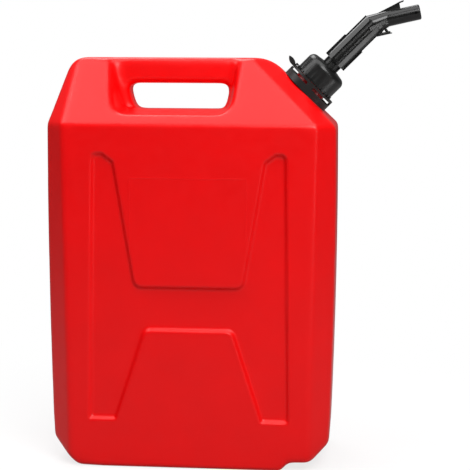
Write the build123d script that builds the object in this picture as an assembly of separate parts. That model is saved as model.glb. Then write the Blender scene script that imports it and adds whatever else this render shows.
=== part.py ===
from build123d import *
import math
import os

# Fuel can of about 20 litres: a blow-moulded body with a through handle,
# a screw cap on a slanted neck, and a self-closing push spout.
# Millimetres. X runs across the can, Y to the back, Z up. The origin is the
# centre of the base.

os.makedirs("parts", exist_ok=True)

# Can body, outside sizes. The tapers are how far each end is in from the
# widest place, which is at the waist.
can_width = 328.8
can_depth = 164.0
can_height = 467.0
foot_taper = 4.4
shoulder_taper = 0.6
shoulder_rise = 75.0
waist_height = 235.0
wall = 2.6
edge_radius = 6.0

# The top of the pyramid shoulder: how far each end is in from the widest place
top_left_inset = 20.9
top_right_inset = 77.4
top_depth = 44.0
top_left_radius = 22.0
top_right_radius = 44.0
neck_tilt = 45.0

# Corner chamfers: how far each crease of the front face is in from its end
crease_foot_inset = 23.7
crease_shoulder_inset = 20.9
crease_top_left_inset = 9.0
crease_top_right_inset = 21.5
corner_depth = 21.0

# Foot: end chamfers and the grip notch under the right end
foot_chamfer_width = 32.0
foot_chamfer_height = 28.0
notch_reach = 54.5
notch_slope_width = 9.5
notch_height = 9.5

# Handle: grip bar, finger hole and the pocket round it
grip_depth = 35.0
grip_height = 29.5
hole_height = 29.5
hole_left_top = 78.5
hole_right_top = 40.5
hole_left_draft = 8.0
hole_right_draft = 6.0
hole_top_radius = 5.0
hole_bottom_radius = 8.0
pocket_left_margin = 12.5
pocket_right_margin = 5.8
pocket_left_flare = 18.0
pocket_right_flare = 13.2
pocket_reach = 13.0
pocket_radius = 12.0
pocket_draft = 5.0
grip_edge_radius = 6.0
pocket_edge_radius = 2.5

# Stiffening recess on both faces, an H with splayed legs
recess_depth = 4.5
recess_draft = 42.0
recess_top_margin = 30.5
recess_foot_margin = 55.3
recess_end_margin = 53.5
recess_end_margin_foot = 44.8
recess_step_width = 13.3
recess_leg_top = 26.8
recess_leg_foot = 32.9
recess_leg_drop = 10.0
recess_waist_upper = 59.7
recess_waist_upper_height = 211.0
recess_waist_lower = 48.5
recess_waist_lower_height = 159.0
recess_leg_radius = 7.0
recess_waist_radius = 8.0
recess_small_radius = 4.0
recess_rim_radius = 1.5

# Neck, measured along its axis from the shoulder
neck_inset = 38.9
neck_radius = 20.6
neck_bore_radius = 18.3
neck_rise = 25.0
neck_lip_chamfer = 0.8

# Child-resistant collar snapped on the foot of the neck
collar_radius = 31.3
collar_wall = 2.6
collar_floor = 2.6
collar_band_height = 8.0
collar_window_height = 3.2
collar_flange_height = 2.8
collar_flange_bore_radius = 23.2
collar_bore_clearance = 0.05
post_width = 9.0
post_count = 4
tab_clearance = 0.3

# Release tab, a leaf on the collar's living hinge
tab_width = 10.0
tab_hinge_radius = 29.2
tab_leaf_length = 13.2
tab_leaf_thickness = 5.2
tab_leaf_angle = 17.0
tab_leaf_belly_share = 0.58
tab_barrel_radius = 1.1
tab_arm_thickness = 1.3
tab_pawl_height = 2.0
tab_pawl_gap = 0.35
tab_swing_room = 0.8

# Screw cap
cap_radius = 25.6
cap_foot_gap = 0.5
cap_thread_bore_radius = 22.4
cap_height = 26.4
cap_top_wall = 2.8
cap_dome_bore_radius = 19.4
cap_shoulder_radius = 7.5
cap_crown_drop = 1.2
cap_stem_hole_radius = 11.6
ratchet_count = 24
ratchet_height = 2.4
ratchet_rise = 0.9
running_gap = 0.05

# Gasket and spout flange
gasket_thickness = 2.0
gasket_inner_radius = 18.5
flange_radius = 21.6
flange_thickness = 3.0

# Guide tube, which the sleeve slides on
stem_rib_radius = 10.7
stem_root_radius = 9.2
stem_rib_width = 1.5
stem_rib_count = 8
stem_cone_radius = 13.5
stem_cone_height = 5.0
stem_bore_radius = 5.5
stem_nose_radius = 7.75
stem_tail = 9.0
stem_shoulder_height = 62.0
stem_top_height = 97.0
ring_groove_height = 94.0
ring_section = 1.5
ring_groove_width = 1.8

# Sleeve: fluted barrel, nozzle, fin and hook
push_travel = 7.0
push_end_gap = 0.3
sleeve_lip_length = 3.0
sleeve_bore_clearance = 0.2
sleeve_core_radius = 12.0
sleeve_rib_radius = 13.1
sleeve_rib_width = 3.6
sleeve_rib_angle = 38.0
sleeve_rail_radius = 14.4
sleeve_rail_width = 2.6
sleeve_rail_length = 30.5
spring_seat_height = 92.0
bend_height = 113.2
bend_angle = 32.5
sleeve_end_drop = 3.0
sleeve_wall = 1.4
elbow_reach = 13.5
elbow_step = 0.7
elbow_rib_rise = 1.6
elbow_rib_width = 3.2
elbow_rib_angle = 14.0
nozzle_radius = 8.65
nozzle_bore_radius = 7.2
nozzle_length = 51.7
nozzle_land = 15.0
nozzle_draft = 0.2
fin_thickness = 2.4
fin_start = 3.0
fin_end = 30.5
fin_rise = 15.9
fin_prong_reach = 5.3
fin_prong_rise = 0.9
fin_prong_thickness = 1.2
hook_start = -2.0
hook_end = 10.4
hook_drop = 17.1
hook_prong_reach = 5.4
hook_prong_thickness = 1.1
hook_neck = 9.3
hook_neck_drop = 8.2
hook_rim = 1.8
hook_window_start = 3.2
hook_window_length = 5.8
hook_window_height = 4.5

# Return spring
spring_wire_radius = 0.6
spring_mean_radius = 8.7
spring_wire_sides = 6
spring_turns = 6
spring_end_gap = 0.2

# Vent tube, tip spider, valve
vent_tube_radius = 2.2
vent_bore_radius = 1.3
vent_tube_tail = 3.0
vent_bend_radius = 14.0
press_clearance = 0.05
spider_length = 7.0
spider_lip = 2.0
spider_ring_wall = 1.2
spider_hub_radius = 3.5
spider_spoke_width = 1.8
spider_spoke_count = 3
spider_vent_reach = 5.2
vent_port_radius = 1.6
vent_spoke_radius = 2.6
seal_thickness = 1.5
seal_outer_radius = 8.6
disc_radius = 9.4
disc_thickness = 2.6
disc_hub_radius = 3.4
disc_wing_length = 9.0
disc_wing_width = 1.4
disc_wing_count = 3
disc_wing_clearance = 0.08

overrun = 1.0
tolerance = 0.01
least_crease = 5.0
right_angle = 90.0
straight_angle = 180.0
full_turn = 360.0


# Places that follow from the sizes above
half_depth = can_depth / 2
half_grip = grip_depth / 2
foot_half_width = can_width / 2 - foot_taper
shoulder_half_width = can_width / 2 - shoulder_taper
shoulder_height = can_height - shoulder_rise
top_left = can_width / 2 - top_left_inset
top_right = can_width / 2 - top_right_inset
notch_start = foot_half_width - notch_reach
hole_top = can_height - grip_height
hole_bottom = hole_top - hole_height
hole_left_bottom = hole_left_top - hole_left_draft
hole_right_bottom = hole_right_top - hole_right_draft
pocket_left_bottom = hole_left_bottom + pocket_left_margin
pocket_right_bottom = hole_right_bottom + pocket_right_margin
pocket_left_top = pocket_left_bottom + pocket_left_flare
pocket_right_top = pocket_right_bottom + pocket_right_flare
recess_top = shoulder_height - recess_top_margin
recess_outer_top = shoulder_half_width - recess_end_margin
recess_outer_bottom = foot_half_width - recess_end_margin_foot
recess_step = recess_outer_top - recess_step_width
recess_inner_top = recess_outer_top - recess_leg_top
recess_inner_top_height = recess_top - recess_leg_drop
recess_inner_bottom = recess_outer_bottom - recess_leg_foot
neck_centre_x = can_width / 2 - neck_inset
tilt_cos = math.cos(math.radians(neck_tilt))
tilt_sin = math.sin(math.radians(neck_tilt))


def slope_height(x):
    """Height of the slanted neck side over a place across the can."""
    return can_height - (x - top_right) * tilt_cos / tilt_sin


neck_plane = Plane(
    origin=(neck_centre_x, 0, slope_height(neck_centre_x)),
    x_dir=(tilt_sin, 0, -tilt_cos),
    z_dir=(tilt_cos, 0, tilt_sin),
)
collar_base = 0
collar_window_base = collar_base + collar_band_height
collar_flange_base = collar_window_base + collar_window_height
collar_top = collar_flange_base + collar_flange_height
cap_foot = collar_top + cap_foot_gap
cap_top = cap_foot + cap_height
gasket_base = neck_rise
flange_base = gasket_base + gasket_thickness
flange_top = flange_base + flange_thickness
sleeve_foot = cap_top + push_travel + push_end_gap
sleeve_end = bend_height - sleeve_end_drop
sleeve_bore_radius = stem_rib_radius + sleeve_bore_clearance
sleeve_seal_bore_radius = stem_nose_radius + sleeve_bore_clearance
stem_foot = flange_base - stem_tail
seal_base = stem_foot - seal_thickness
disc_base = seal_base - disc_thickness
clamp_face = flange_top + running_gap
tab_hinge_height = collar_flange_base + collar_flange_height / 2
seal_ring_outer = sleeve_seal_bore_radius - running_gap
seal_ring_inner = seal_ring_outer - ring_section
bend_cos = math.cos(math.radians(bend_angle))
bend_sin = math.sin(math.radians(bend_angle))
nozzle_plane = Plane(
    origin=(0, 0, bend_height),
    x_dir=(bend_cos, 0, -bend_sin),
    z_dir=(bend_sin, 0, bend_cos),
)


def place(shape):
    """Puts a shape drawn about the Z axis on the neck's axis."""
    return neck_plane.location * shape


def save(shape, node):
    """Writes one piece under its node name."""
    export_step(shape, f"parts/{node}.step")


def disc(radius, base, height):
    """A round solid on the Z axis, from base upwards."""
    return Pos(0, 0, base) * extrude(Circle(radius), amount=height)


def ring(outer, inner, base, height):
    """A round solid with a bore."""
    return disc(outer, base, height) - disc(inner, base - overrun, height + 2 * overrun)


def turned(points):
    """A solid turned about the Z axis from a half section of radius and height."""
    outline = [Vector(radius, 0, height) for radius, height in points]
    return revolve(make_face(Polyline(*outline, close=True)), Axis.Z)


def vane(width, reach, base, height, angle):
    """A radial web that starts on the Z axis."""
    web = extrude(Rectangle(reach, width, align=(Align.MIN, Align.CENTER)), amount=height)
    return Rot(0, 0, angle) * Pos(0, 0, base) * web


def front_outline(inset):
    """The can's outline seen from the front, as a face moved in by a wall."""
    notch_end = notch_start + notch_slope_width
    chamfer_share = notch_height / foot_chamfer_height
    chamfer_foot = foot_half_width - foot_chamfer_width
    foot = Line((-chamfer_foot, 0), (notch_start, 0))
    slope = Line(foot @ 1, (notch_end, notch_height))
    ceiling = Line(slope @ 1, (chamfer_foot + foot_chamfer_width * chamfer_share, notch_height))
    right_chamfer = Line(ceiling @ 1, (foot_half_width, foot_chamfer_height))
    right_side = ThreePointArc(
        right_chamfer @ 1,
        (can_width / 2, waist_height),
        (shoulder_half_width, slope_height(shoulder_half_width)),
    )
    neck_side = Line(right_side @ 1, (top_right, can_height))
    top = Line(neck_side @ 1, (-top_left, can_height))
    left_slope = Line(top @ 1, (-shoulder_half_width, shoulder_height))
    left_side = ThreePointArc(
        left_slope @ 1, (-can_width / 2, waist_height), (-foot_half_width, foot_chamfer_height)
    )
    left_chamfer = Line(left_side @ 1, foot @ 0)
    face = make_face(
        foot + slope + ceiling + right_chamfer + right_side
        + neck_side + top + left_slope + left_side + left_chamfer
    )
    for x, radius in ((top_right, top_right_radius), (-top_left, top_left_radius)):
        corner = face.vertices().sort_by_distance(Vector(x, can_height, 0))[0]
        face = fillet(corner, radius)
    if inset:
        face = offset(face, amount=-inset, kind=Kind.INTERSECTION)
    return Plane.XZ * face


def side_outline(inset):
    """The can's outline seen from the side."""
    half_top = top_depth / 2
    points = [
        (-half_depth, 0),
        (half_depth, 0),
        (half_depth, shoulder_height),
        (half_top, can_height),
        (-half_top, can_height),
        (-half_depth, shoulder_height),
    ]
    face = make_face(Polyline(*points, close=True))
    if inset:
        face = offset(face, amount=-inset, kind=Kind.INTERSECTION)
    return Plane.YZ * face


def cut_plane(first, second, third):
    """The plane through three points, facing away from the can's middle."""
    start = Vector(*first)
    normal = (Vector(*second) - start).cross(Vector(*third) - start).normalized()
    middle = Vector(0, 0, shoulder_height / 2)
    if normal.dot(start - middle) < 0:
        normal = normal * -1
    return Plane(origin=start, z_dir=normal)


def corner_planes():
    """The chamfers of the upright corners and of the shoulder's ridges."""
    planes = []
    foot = foot_half_width - crease_foot_inset
    shoulder = shoulder_half_width - crease_shoulder_inset
    ridges = ((-1, top_left - crease_top_left_inset), (1, top_right - crease_top_right_inset))
    for side in (-1, 1):
        face_y = side * half_depth
        corner_y = side * (half_depth - corner_depth)
        top_y = side * top_depth / 2
        for hand, crease_top in ridges:
            upper = (hand * shoulder, face_y, shoulder_height)
            corner = (hand * shoulder_half_width, corner_y, shoulder_height)
            planes.append(cut_plane((hand * foot, face_y, 0), upper, corner))
            planes.append(cut_plane((hand * crease_top, top_y, can_height), upper, corner))
    return planes


def can_form(inset):
    """The plain form of the can, moved in by a wall for the hollow inside."""
    form = extrude(front_outline(inset), amount=can_depth, both=True)
    form = form & extrude(side_outline(inset), amount=can_width, both=True)
    for plane in corner_planes():
        form = split(form, bisect_by=plane.offset(-inset), keep=Keep.BOTTOM)
    return form


def sharp_edges(solid):
    """The edges where two faces meet in a visible crease."""
    picked = []
    faces = solid.faces()
    for edge in solid.edges():
        pair = [face for face in faces if any(edge.is_same(other) for other in face.edges())]
        middle = edge.position_at(0.5)
        normals = [face.normal_at(middle) for face in pair]
        if len(pair) == 2 and normals[0].get_angle(normals[1]) > least_crease:
            picked.append(edge)
    return picked


def edges_at_depth(solid, depth):
    """The edges that lie flat at a distance in front of or behind the can's middle."""
    picked = []
    for edge in solid.edges():
        box = edge.bounding_box()
        if box.max.Y - box.min.Y < tolerance and abs(abs(box.max.Y) - depth) < tolerance:
            picked.append(edge)
    return picked


def both_faces(cut):
    """A cut made in one face and mirrored to the other."""
    return cut + mirror(cut, about=Plane.XZ)


def hole_cut(grow):
    """The finger hole, right through the can."""
    points = [
        (-hole_left_top, hole_top),
        (hole_right_top, hole_top),
        (hole_right_bottom, hole_bottom),
        (-hole_left_bottom, hole_bottom),
    ]
    face = make_face(Polyline(*points, close=True))
    upper = face.vertices().group_by(Axis.Y)[-1]
    face = fillet(upper, hole_top_radius)
    lower = face.vertices().group_by(Axis.Y)[0]
    face = fillet(lower, hole_bottom_radius)
    if grow:
        face = offset(face, amount=grow)
    return extrude(Plane.XZ * face, amount=can_depth, both=True)


def pocket_cut(grow):
    """The hand pocket in front of the grip, open at the top."""
    pocket_top = can_height + pocket_reach
    points = [
        (-pocket_left_bottom, hole_bottom),
        (pocket_right_bottom, hole_bottom),
        (pocket_right_top, pocket_top),
        (-pocket_left_top, pocket_top),
    ]
    face = make_face(Polyline(*points, close=True))
    face = fillet(face.vertices().group_by(Axis.Y)[0], pocket_radius)
    if grow:
        face = offset(face, amount=grow)
    floor = Plane.XZ.offset(half_grip - grow)
    return extrude(floor * face, amount=half_depth, taper=-pocket_draft)


def recess_cut(grow):
    """The H-shaped stiffening recess in the back face."""
    half = [
        (recess_outer_bottom, recess_foot_margin),
        (recess_outer_top, recess_top),
        (recess_step, recess_top),
        (recess_inner_top, recess_inner_top_height),
        (recess_waist_upper, recess_waist_upper_height),
    ]
    lower = [
        (recess_waist_lower, recess_waist_lower_height),
        (recess_inner_bottom, recess_foot_margin),
    ]
    right = half
    left = [(-x, z) for x, z in reversed(half)]
    under_left = [(-x, z) for x, z in reversed(lower)]
    face = make_face(Polyline(*right, *left, *under_left, *lower, close=True))
    waist = [corner for corner in face.vertices() if abs(corner.X) < recess_waist_upper + overrun]
    face = fillet(waist, recess_waist_radius)
    tips = [corner for corner in face.vertices() if abs(abs(corner.X) - recess_outer_top) < overrun]
    face = fillet(tips, recess_leg_radius)
    feet = [
        corner
        for corner in face.vertices()
        if abs(corner.Y - recess_foot_margin) < overrun
        or abs(corner.Y - recess_inner_top_height) < overrun
    ]
    face = fillet(feet, recess_small_radius)
    if grow:
        prism = extrude(face, amount=recess_depth + grow)
    else:
        prism = extrude(face, amount=recess_depth, taper=recess_draft)
    return Plane.XZ.offset(-half_depth).location * prism


def outer_form():
    """The can's outside: the plain form with its hand pockets, grip and recesses."""
    form = can_form(0)
    form = fillet(sharp_edges(form), edge_radius)
    form = form - both_faces(pocket_cut(0)) - hole_cut(0)
    grip = [
        edge
        for edge in edges_at_depth(form, half_grip)
        if edge.position_at(0.5).Z > can_height - tolerance
    ]
    form = fillet(grip, grip_edge_radius)
    rims = [edge for edge in sharp_edges(form) if abs(edge.position_at(0.5).Y) > top_depth / 2]
    form = fillet(rims, pocket_edge_radius)
    form = form - both_faces(recess_cut(0))
    rims = [
        edge
        for edge in edges_at_depth(form, half_depth)
        if abs(edge.position_at(0.5).X) < recess_outer_bottom + tolerance
        and recess_foot_margin - tolerance < edge.position_at(0.5).Z < recess_top + tolerance
    ]
    return fillet(rims, recess_rim_radius)


def hollow():
    """The room inside, a wall away from the outside everywhere."""
    room = can_form(wall) - both_faces(pocket_cut(wall)) - hole_cut(wall)
    return room - both_faces(recess_cut(wall))


def can_body():
    """The blow-moulded shell with its neck, which opens into the hollow."""
    neck = disc(neck_radius, -wall, neck_rise + wall)
    neck = chamfer(neck.edges().sort_by(Axis.Z)[-1], neck_lip_chamfer)
    bore = disc(neck_bore_radius, -neck_radius, neck_rise + neck_radius + overrun)
    return outer_form() + place(neck) - hollow() - place(bore)


def lock_ring():
    """The collar: floor on the neck, band, windows between posts, and top flange."""
    collar_height = collar_top - collar_base
    bore = neck_radius + collar_bore_clearance
    posts = ring(collar_radius, collar_radius - collar_wall, collar_base, collar_height)
    reach = collar_radius + overrun
    spokes = [
        vane(post_width, reach, collar_base, collar_height, index * full_turn / post_count)
        for index in range(post_count)
    ]
    collar = posts & (Part() + spokes)
    collar = collar + ring(collar_radius, bore, collar_base, collar_floor)
    collar = collar + ring(collar_radius, collar_radius - collar_wall, collar_base, collar_band_height)
    collar = collar + ring(
        collar_radius, collar_flange_bore_radius, collar_flange_base, collar_flange_height
    )
    slot_width = tab_width + 2 * tab_clearance
    slot = extrude(
        Rectangle(collar_radius, slot_width, align=(Align.MAX, Align.CENTER)),
        amount=collar_height,
    )
    arm_start = tab_hinge_radius - tab_arm_thickness / 2 - tab_clearance
    collar = collar - Pos(-tab_hinge_radius, 0, collar_flange_base - tab_swing_room) * slot
    collar = collar - Pos(-arm_start, 0, tab_hinge_height) * slot
    hinge = Pos(-tab_hinge_radius, 0, tab_hinge_height) * Rot(right_angle, 0, 0)
    return place(collar - hinge * Cylinder(tab_barrel_radius + running_gap, slot_width))


def release_tab():
    """The thumb leaf, its barrel on the hinge line, and the pawl that holds the cap."""
    half_width = tab_width / 2
    lean_cos = math.cos(math.radians(tab_leaf_angle))
    lean_sin = math.sin(math.radians(tab_leaf_angle))

    def leaf_point(along, across):
        radius = tab_hinge_radius + along * lean_cos + across * lean_sin
        height = tab_hinge_height + along * lean_sin - across * lean_cos
        return Vector(-radius, 0, height)

    belly = tab_leaf_length * tab_leaf_belly_share
    half_belly = tab_leaf_thickness / 2
    half_root = tab_arm_thickness / 2
    tip = leaf_point(tab_leaf_length, 0)
    outer = ThreePointArc(leaf_point(0, half_root), leaf_point(belly, half_belly), tip)
    inner = ThreePointArc(tip, leaf_point(belly, -half_belly), leaf_point(0, -half_root))
    root = Line(inner @ 1, outer @ 0)
    leaf = extrude(make_face(outer + inner + root), amount=half_width, both=True)
    hinge = Pos(-tab_hinge_radius, 0, tab_hinge_height) * Rot(right_angle, 0, 0)
    barrel = hinge * Cylinder(tab_barrel_radius, tab_width)
    pawl_top = cap_foot + ratchet_height
    pawl_nose = cap_radius + ratchet_rise + tab_pawl_gap
    arm_points = [
        (-tab_hinge_radius - half_root, tab_hinge_height),
        (-tab_hinge_radius - half_root, pawl_top),
        (-pawl_nose, pawl_top),
        (-pawl_nose, pawl_top - tab_pawl_height),
        (-tab_hinge_radius + half_root, pawl_top - tab_pawl_height),
        (-tab_hinge_radius + half_root, tab_hinge_height),
    ]
    outline = [Vector(x, 0, z) for x, z in arm_points]
    arm = extrude(make_face(Polyline(*outline, close=True)), amount=half_width, both=True)
    return place(leaf + barrel + arm)


def screw_cap():
    """The domed cap: thread skirt, clamping step, hollow crown and ratchet teeth."""
    crown_edge = cap_top - cap_crown_drop
    side_top = crown_edge - cap_shoulder_radius
    shoulder_start = cap_radius - cap_shoulder_radius
    arc_reach = cap_shoulder_radius * math.cos(math.radians(right_angle / 2))
    side = Line((cap_thread_bore_radius, 0, cap_foot), (cap_radius, 0, cap_foot))
    wall_line = Line(side @ 1, (cap_radius, 0, side_top))
    shoulder = ThreePointArc(
        wall_line @ 1,
        (shoulder_start + arc_reach, 0, side_top + arc_reach),
        (shoulder_start, 0, crown_edge),
    )
    crown = Line(shoulder @ 1, (cap_stem_hole_radius, 0, cap_top))
    inside = Polyline(
        crown @ 1,
        (cap_stem_hole_radius, 0, cap_top - cap_top_wall),
        (cap_dome_bore_radius - cap_crown_drop, 0, crown_edge - cap_top_wall),
        (cap_dome_bore_radius, 0, side_top),
        (cap_dome_bore_radius, 0, clamp_face),
        (cap_thread_bore_radius, 0, clamp_face),
        side @ 0,
    )
    cap = revolve(make_face(side + wall_line + shoulder + crown + inside), Axis.Z)
    tooth_width = math.pi * cap_radius / ratchet_count
    band = ring(cap_radius + ratchet_rise, cap_radius - ratchet_rise, cap_foot, ratchet_height)
    reach = cap_radius + ratchet_height
    spokes = [
        vane(tooth_width, reach, cap_foot, ratchet_height, index * full_turn / ratchet_count)
        for index in range(ratchet_count)
    ]
    return place(cap + (band & (Part() + spokes)))


def neck_gasket():
    """The flat ring between the neck's lip and the spout's flange."""
    return place(ring(neck_radius, gasket_inner_radius, gasket_base, gasket_thickness))


def guide_tube():
    """The spout's fixed tube: valve seat, clamped flange, ribbed stem and nose."""
    groove_top = ring_groove_height + ring_groove_width
    tube = turned(
        [
            (stem_bore_radius, stem_foot),
            (stem_root_radius, stem_foot),
            (stem_root_radius, flange_base),
            (flange_radius, flange_base),
            (flange_radius, flange_top),
            (stem_cone_radius, flange_top),
            (stem_root_radius, flange_top + stem_cone_height),
            (stem_root_radius, stem_shoulder_height),
            (stem_nose_radius, stem_shoulder_height),
            (stem_nose_radius, ring_groove_height),
            (seal_ring_inner, ring_groove_height),
            (seal_ring_inner, groove_top),
            (stem_nose_radius, groove_top),
            (stem_nose_radius, stem_top_height),
            (stem_bore_radius, stem_top_height),
        ]
    )
    pitch = full_turn / stem_rib_count
    rib_height = stem_shoulder_height - flange_top
    ribs = [
        vane(stem_rib_width, stem_rib_radius, flange_top, rib_height, pitch / 2 + index * pitch)
        for index in range(stem_rib_count)
    ]
    core = disc((stem_bore_radius + stem_root_radius) / 2, flange_top, rib_height)
    return place(tube + (Part() + ribs - core))


def stem_seal_ring():
    """The lathe-cut rubber ring in the groove of the guide tube's nose."""
    base = ring_groove_height + (ring_groove_width - ring_section) / 2
    return place(ring(seal_ring_outer, seal_ring_inner, base, ring_section))


def plate(points, thickness):
    """A flat web on the nozzle from points of rise over its axis and length along it."""
    outline = [Vector(-rise, 0, along) for rise, along in points]
    web = extrude(make_face(Polyline(*outline, close=True)), amount=thickness / 2, both=True)
    return nozzle_plane.location * web


def nozzle_disc(radius, start, length):
    """A round solid on the nozzle's axis."""
    return nozzle_plane.location * disc(radius, start, length)


def elbow_rib(side):
    """A flute that runs on from the barrel over the elbow; side is -1 in front, 1 behind."""
    depth = sleeve_rib_radius - sleeve_core_radius + sleeve_wall
    low = Plane(origin=(0, 0, sleeve_end), z_dir=(0, 0, 1))
    high = nozzle_plane.offset(elbow_reach)
    faces = []
    for plane, radius, width, angle in (
        (low, sleeve_rib_radius, sleeve_rib_width, sleeve_rib_angle),
        (high, nozzle_radius + elbow_rib_rise, elbow_rib_width, elbow_rib_angle),
    ):
        turn = Rot(0, 0, side * (right_angle - angle)) * Pos(radius, 0, 0)
        face = Rectangle(depth, width, align=(Align.MAX, Align.CENTER))
        faces.append(plane * turn * face)
    return loft(faces, ruled=True)


def pour_sleeve():
    """The sliding sleeve: fluted barrel, elbow, bent nozzle, top fin and filler-rim hook."""
    barrel_length = sleeve_end - sleeve_foot
    barrel = disc(sleeve_core_radius, sleeve_foot, barrel_length)
    barrel = barrel + disc(sleeve_rib_radius, sleeve_foot, sleeve_lip_length)
    for side in (-right_angle, right_angle):
        for turn in (-sleeve_rib_angle, sleeve_rib_angle):
            barrel = barrel + vane(
                sleeve_rib_width, sleeve_rib_radius, sleeve_foot, barrel_length, side + turn
            )
    for side in (0, straight_angle):
        barrel = barrel + vane(
            sleeve_rail_width, sleeve_rail_radius, sleeve_foot, sleeve_rail_length, side
        )
        barrel = barrel + vane(
            sleeve_rail_width, sleeve_rib_radius, sleeve_foot, barrel_length, side
        )
    barrel_end = Pos(0, 0, sleeve_end) * Circle(sleeve_core_radius)
    elbow_end = nozzle_plane.offset(elbow_reach) * Circle(nozzle_radius + elbow_step)
    elbow = loft([barrel_end, elbow_end], ruled=True) + elbow_rib(-1) + elbow_rib(1)
    land_start = nozzle_length - nozzle_land
    root_circle = nozzle_plane * Circle(nozzle_radius + nozzle_draft)
    land_circle = nozzle_plane.offset(land_start) * Circle(nozzle_radius)
    tube = loft([root_circle, land_circle], ruled=True)
    tube = tube + nozzle_disc(nozzle_radius, land_start, nozzle_land - spider_lip)
    web_root = (nozzle_radius + nozzle_bore_radius) / 2
    fin = plate(
        [
            (web_root, fin_start),
            (nozzle_radius, fin_start),
            (fin_rise, fin_end),
            (fin_rise + fin_prong_rise, fin_end + fin_prong_reach),
            (fin_rise + fin_prong_rise - fin_prong_thickness, fin_end + fin_prong_reach),
            (fin_rise - fin_prong_thickness, fin_end),
            (web_root, fin_end),
        ],
        fin_thickness,
    )
    hook = plate(
        [
            (0, 0),
            (-hook_drop, hook_start),
            (-hook_drop, hook_end + hook_prong_reach),
            (-hook_drop + hook_prong_thickness, hook_end + hook_prong_reach),
            (-hook_drop + hook_rim, hook_end),
            (-hook_neck_drop, hook_neck),
        ],
        fin_thickness,
    )
    window_end = hook_window_start + hook_window_length
    window = plate(
        [
            (-hook_drop + hook_rim, hook_window_start),
            (-hook_drop + hook_rim, window_end),
            (-hook_drop + hook_rim + hook_window_height, window_end - hook_rim / 2),
        ],
        fin_thickness + overrun,
    )
    slide_length = spring_seat_height - sleeve_foot + overrun
    slide_bore = disc(sleeve_bore_radius, sleeve_foot - overrun, slide_length)
    seal_bore = disc(sleeve_seal_bore_radius, sleeve_foot, barrel_length)
    bore_end = Pos(0, 0, sleeve_end) * Circle(sleeve_seal_bore_radius)
    bore_bend = nozzle_plane.offset(elbow_reach) * Circle(nozzle_bore_radius)
    elbow_bore = loft([bore_end, bore_bend], ruled=True)
    nozzle_bore = nozzle_disc(nozzle_bore_radius, elbow_reach, nozzle_length)
    port_place = nozzle_plane.location * Pos(0, 0, nozzle_length - spider_vent_reach)
    port = port_place * Rot(right_angle, 0, 0) * extrude(Circle(vent_port_radius), amount=fin_rise)
    sleeve = barrel + elbow + tube + fin + (hook - window)
    return place(sleeve - slide_bore - seal_bore - elbow_bore - nozzle_bore - port)


def tip_spider():
    """The nozzle's end piece: lip, ring and spokes that hold the vent tube."""
    inner = nozzle_bore_radius - spider_ring_wall
    start = nozzle_length - spider_lip - spider_length
    body = ring(nozzle_bore_radius - press_clearance, inner, start, spider_length + spider_lip)
    lip = ring(nozzle_radius, inner, nozzle_length - spider_lip, spider_lip)
    hub = disc(spider_hub_radius, start, spider_length)
    spoke_length = inner + spider_ring_wall / 2
    pitch = full_turn / spider_spoke_count
    spokes = [
        vane(spider_spoke_width, spoke_length, start, spider_length, index * pitch - right_angle)
        for index in range(spider_spoke_count)
    ]
    port_height = nozzle_length - spider_vent_reach
    port_turn = Pos(0, 0, port_height) * Rot(right_angle, 0, 0)
    vent_spoke = port_turn * extrude(Circle(vent_spoke_radius), amount=spoke_length)
    port = port_turn * extrude(Circle(vent_port_radius), amount=nozzle_radius)
    socket = disc(vent_tube_radius + press_clearance, start - overrun, port_height - start + overrun)
    spider = body + lip + hub + spokes + vent_spoke - port - socket
    return place(nozzle_plane.location * spider)


def vent_tube():
    """The bent air tube from the valve disc to the port by the tip."""
    low = Vector(0, 0, disc_base - vent_tube_tail)
    corner = Vector(0, 0, bend_height)
    reach = nozzle_length - spider_vent_reach - vent_port_radius
    high = corner + nozzle_plane.z_dir * reach
    path = FilletPolyline(low, corner, high, radius=vent_bend_radius)
    start = Plane(origin=low, z_dir=(0, 0, 1))
    outer = sweep(start * Circle(vent_tube_radius), path=path)
    inner = sweep(start * Circle(vent_bore_radius), path=path)
    return place(outer - inner)


def valve_disc():
    """The valve: a disc under the guide tube with a winged hub that runs in its bore."""
    hub_top = stem_foot + disc_wing_length
    wing_reach = stem_bore_radius - disc_wing_clearance
    plug = disc(disc_radius, disc_base, disc_thickness)
    plug = plug + disc(disc_hub_radius, disc_base, hub_top - disc_base)
    pitch = full_turn / disc_wing_count
    wings = [
        vane(disc_wing_width, wing_reach, stem_foot, disc_wing_length, index * pitch)
        for index in range(disc_wing_count)
    ]
    bore = disc(vent_tube_radius + press_clearance, disc_base - overrun, hub_top)
    return place(plug + wings - bore)


def valve_seal():
    """The rubber face ring on the valve disc."""
    bore = disc_hub_radius + press_clearance
    return place(ring(seal_outer_radius, bore, seal_base, seal_thickness))


def return_spring():
    """The coil spring between the guide tube's shoulder and the sleeve's seat."""
    low = stem_shoulder_height + spring_end_gap + spring_wire_radius
    high = spring_seat_height - spring_end_gap - spring_wire_radius
    pitch = (high - low) / spring_turns
    coil = Helix(pitch, high - low, spring_mean_radius)
    start = Plane(origin=coil @ 0, z_dir=coil % 0)
    section = start * RegularPolygon(spring_wire_radius, spring_wire_sides)
    wire = sweep(section, path=coil, is_frenet=True)
    return place(Pos(0, 0, low) * wire)


save(can_body(), "can_body")
save(lock_ring(), "lock_ring")
save(release_tab(), "release_tab")
save(screw_cap(), "screw_cap")
save(neck_gasket(), "neck_gasket")
save(guide_tube(), "guide_tube")
save(stem_seal_ring(), "stem_seal_ring")
save(return_spring(), "return_spring")
save(pour_sleeve(), "pour_sleeve")
save(tip_spider(), "tip_spider")
save(vent_tube(), "vent_tube")
save(valve_disc(), "valve_disc")
save(valve_seal(), "valve_seal")
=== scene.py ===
import bmesh
import bpy
import math
from mathutils import Matrix, Vector


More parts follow.
